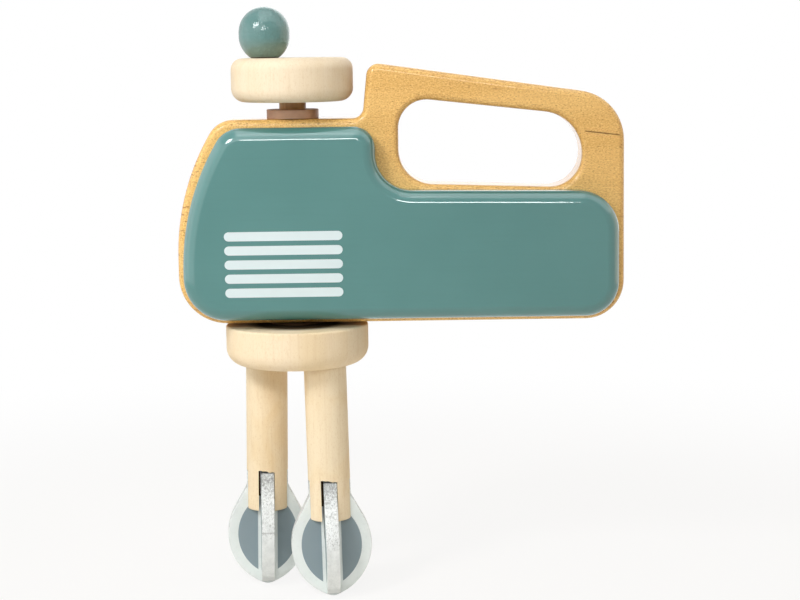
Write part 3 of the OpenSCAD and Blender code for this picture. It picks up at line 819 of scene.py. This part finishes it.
# Crank ball: a wooden ball, cut flat below, pegged and glued off centre on the crank disc, and painted
# like the covers, but with a brush. A child turns the whisks by it.
ball_low, ball_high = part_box("crank_ball")
ball_r = (ball_high.x - ball_low.x) / 2
ball_foot_r = 5.0 * MM
lower_middle = ball_low.z + math.sqrt(ball_r ** 2 - ball_foot_r ** 2)
belt = ball_high.z - ball_r - lower_middle
bpy.ops.object.select_all(action="DESELECT")
ball_middle = ((ball_low.x + ball_high.x) / 2, (ball_low.y + ball_high.y) / 2, lower_middle)
bpy.ops.mesh.primitive_uv_sphere_add(segments=96, ring_count=48, radius=ball_r, location=ball_middle)
bpy.ops.object.transform_apply(location=True, rotation=True, scale=True)
crank_ball = bpy.context.object
crank_ball.name = crank_ball.data.name = "crank_ball_turned"
for vertex in crank_ball.data.vertices:
    if vertex.co.z > lower_middle:
        vertex.co.z += belt
edit(crank_ball)
bpy.ops.mesh.select_all(action="SELECT")
bpy.ops.mesh.bisect(plane_co=ball_low, plane_no=(0, 0, 1), use_fill=True, clear_inner=True)
bpy.ops.mesh.select_all(action="SELECT")
bpy.ops.mesh.normals_make_consistent(inside=False)
bpy.ops.object.mode_set(mode="OBJECT")
smooth(crank_ball)

# Near its foot the paint is warmer, a painted reflection of the disc, and the foot is dark, a painted
# contact shadow
ball_light, ball_dark = (0.080, 0.198, 0.190, 1), (0.088, 0.210, 0.202, 1)
ball_painted_reflection_teal = (0.25, 0.31, 0.25, 1)
ball_foot_shadow_brown = (0.05, 0.035, 0.02, 1)
foot_shadow_top = ball_low.z + 0.5 * MM
foot_shadow_full = foot_shadow_top - 0.2 * MM
reflection_from, reflection_most = foot_shadow_top + 7.5 * MM, foot_shadow_top + 2 * MM
ball_paint, ball_shader, ball_place, ball_colour = teal_paint(
    "brushed_teal_paint", ball_light, ball_dark, coat=0.7, gloss=0.12, relief=0.00018, pores=900)
ball_z = axes(ball_paint, ball_place)[2]
ball_painted_reflection = span(ball_paint, ball_z, reflection_from, reflection_most, 0, 0.45)
ball_colour = blend(ball_paint, ball_painted_reflection, ball_colour, ball_painted_reflection_teal)
ball_colour = blend(ball_paint, span(ball_paint, ball_z, foot_shadow_top, foot_shadow_full), ball_colour, ball_foot_shadow_brown)
link(ball_paint, ball_colour, ball_shader, "Base Color")
dress(crank_ball, ball_paint, "rotor", "teal_paint", "crank_ball")

# Stage: a pale floor under the whisk tips and a white surround, as in a product photograph. Near the toy
# the floor keeps some of its own shade, so that the toy's shadow shows on it.
glow_near, glow_far = 0.15, 0.5
glow_least = 0.85


def to_the_eye(material):
    """1 for rays from the camera, straight or by way of a mirror or glass, and 0 for all others."""
    rays = add(material, "LightPath", {}).outputs
    seen = sums(material, "MAXIMUM", rays["Is Camera Ray"], rays["Is Glossy Ray"])
    return sums(material, "MAXIMUM", seen, rays["Is Transmission Ray"])


bpy.ops.object.select_all(action="DESELECT")
bpy.ops.mesh.primitive_plane_add(size=12, location=(0, 0, cad_box[0][2]))
floor = bpy.context.object
floor.name = "floor"
floor_paint = bpy.data.materials.new("white_floor")
floor_paint.use_nodes = True
floor_nodes = floor_paint.node_tree.nodes
floor_shader = floor_nodes["Principled BSDF"]
floor_shader.inputs["Base Color"].default_value = (0.85, 0.82, 0.76, 1)
floor_shader.inputs["Roughness"].default_value = 0.9
floor_shader.inputs["Specular IOR Level"].default_value = 0
floor_glow = add(floor_paint, "Emission", {"Color": (1, 1, 1, 1), "Strength": 1.0})
floor_place = add(floor_paint, "TexCoord", {}).outputs["Object"]
floor_reach = add(floor_paint, "VectorMath", {0: floor_place}, operation="LENGTH").outputs["Value"]
floor_white = span(floor_paint, floor_reach, glow_near, glow_far, glow_least, 1.0)
glow_share = sums(floor_paint, "MULTIPLY", to_the_eye(floor_paint), floor_white)
floor_inputs = {0: glow_share, 1: floor_shader.outputs[0], 2: floor_glow.outputs[0]}
floor_mix = add(floor_paint, "MixShader", floor_inputs)
floor_paint.node_tree.links.new(floor_mix.outputs[0], floor_nodes["Material Output"].inputs["Surface"])
floor.data.materials.append(floor_paint)

# The surround looks white, and itself throws only a little warm light on the toy
surround_fill = 0.1
surround_warm = (1, 0.78, 0.5, 1)
world = bpy.data.worlds.new("studio")
bpy.context.scene.world = world
world.use_nodes = True
sky = world.node_tree.nodes["Background"]
world_seen = to_the_eye(world)
link(world, span(world, world_seen, 0, 1, surround_fill, 1.0), sky, "Strength")
link(world, blend(world, world_seen, surround_warm, (1, 1, 1, 1)), sky, "Color")


def lamp(name, place, target, size, power, spread=180, colour=(1, 1, 1)):
    """A soft lamp at a place, turned to its target, with its width and height, and its spread in degrees."""
    data = bpy.data.lights.new(name, "AREA")
    data.shape = "RECTANGLE"
    data.size, data.size_y = size
    data.energy = power
    data.spread = math.radians(spread)
    data.color = colour
    lamp_object = bpy.data.objects.new(name, data)
    lamp_object.location = place
    lamp_object.rotation_euler = (Vector(target) - Vector(place)).to_track_quat("-Z", "Y").to_euler()
    bpy.context.scene.collection.objects.link(lamp_object)
    return lamp_object


# Broad soft lamps in front, to the left, above, behind and to the right. A small key and a strip draw the
# lines of light along the covers' edges, and a faint glow comes up from the table.
middle = (0, 0, 0.14)
cover_nose_middle = (-0.07, 0, 0.14)
table_middle, table_up = (0, -0.05, 0.004), (0, -0.05, 1)
lamp("key_lamp", (-0.36, -0.43, 0.54), cover_nose_middle, size=(0.16, 0.16), power=0.16, spread=45)
lamp("front_lamp", (-0.14, -0.50, 0.66), middle, size=(0.24, 0.95), power=0.85)
lamp("left_lamp", (-0.44, -0.30, 0.22), middle, size=(0.80, 0.42), power=0.72)
lamp("side_lamp", (-0.52, 0.08, 0.25), middle, size=(0.50, 0.42), power=0.36)
lamp("strip_lamp", (0.0, -0.92, 0.52), middle, size=(0.32, 0.12), power=2.1)
lamp("top_lamp", (0.0, -0.10, 1.0), middle, size=(0.60, 0.80), power=2.15)
lamp("rear_lamp", (0.25, 0.85, 0.42), middle, size=(1.0, 0.8), power=2.4)
lamp("upper_right_lamp", (0.62, -0.08, 0.80), middle, size=(0.6, 0.8), power=1.3)
lamp("right_lamp", (0.75, 0.20, 0.24), middle, size=(0.6, 0.6), power=0.78, colour=(1, 0.78, 0.52))
table_lamp = lamp("table_lamp", table_middle, table_up, size=(0.7, 0.6), power=0.18)
table_lamp.visible_camera = False

# Camera: in front of the toy at the height of its crank, with a long lens. It looks down a little, and is
# rolled by a touch, as in the photograph.
camera_down = math.radians(7.8)
camera_roll = math.radians(-0.8)
camera_data = bpy.data.cameras.new("camera")
camera_data.lens = 85
camera_data.sensor_width = 36
camera = bpy.data.objects.new("camera", camera_data)
camera.location = (-0.00065, -0.71136, 0.20944)
camera_tip = Matrix.Rotation(math.pi / 2 - camera_down, 4, "X")
camera.rotation_euler = (camera_tip @ Matrix.Rotation(camera_roll, 4, "Z")).to_euler()
bpy.context.scene.collection.objects.link(camera)
bpy.context.scene.camera = camera
bpy.context.scene.view_settings.view_transform = "Standard"
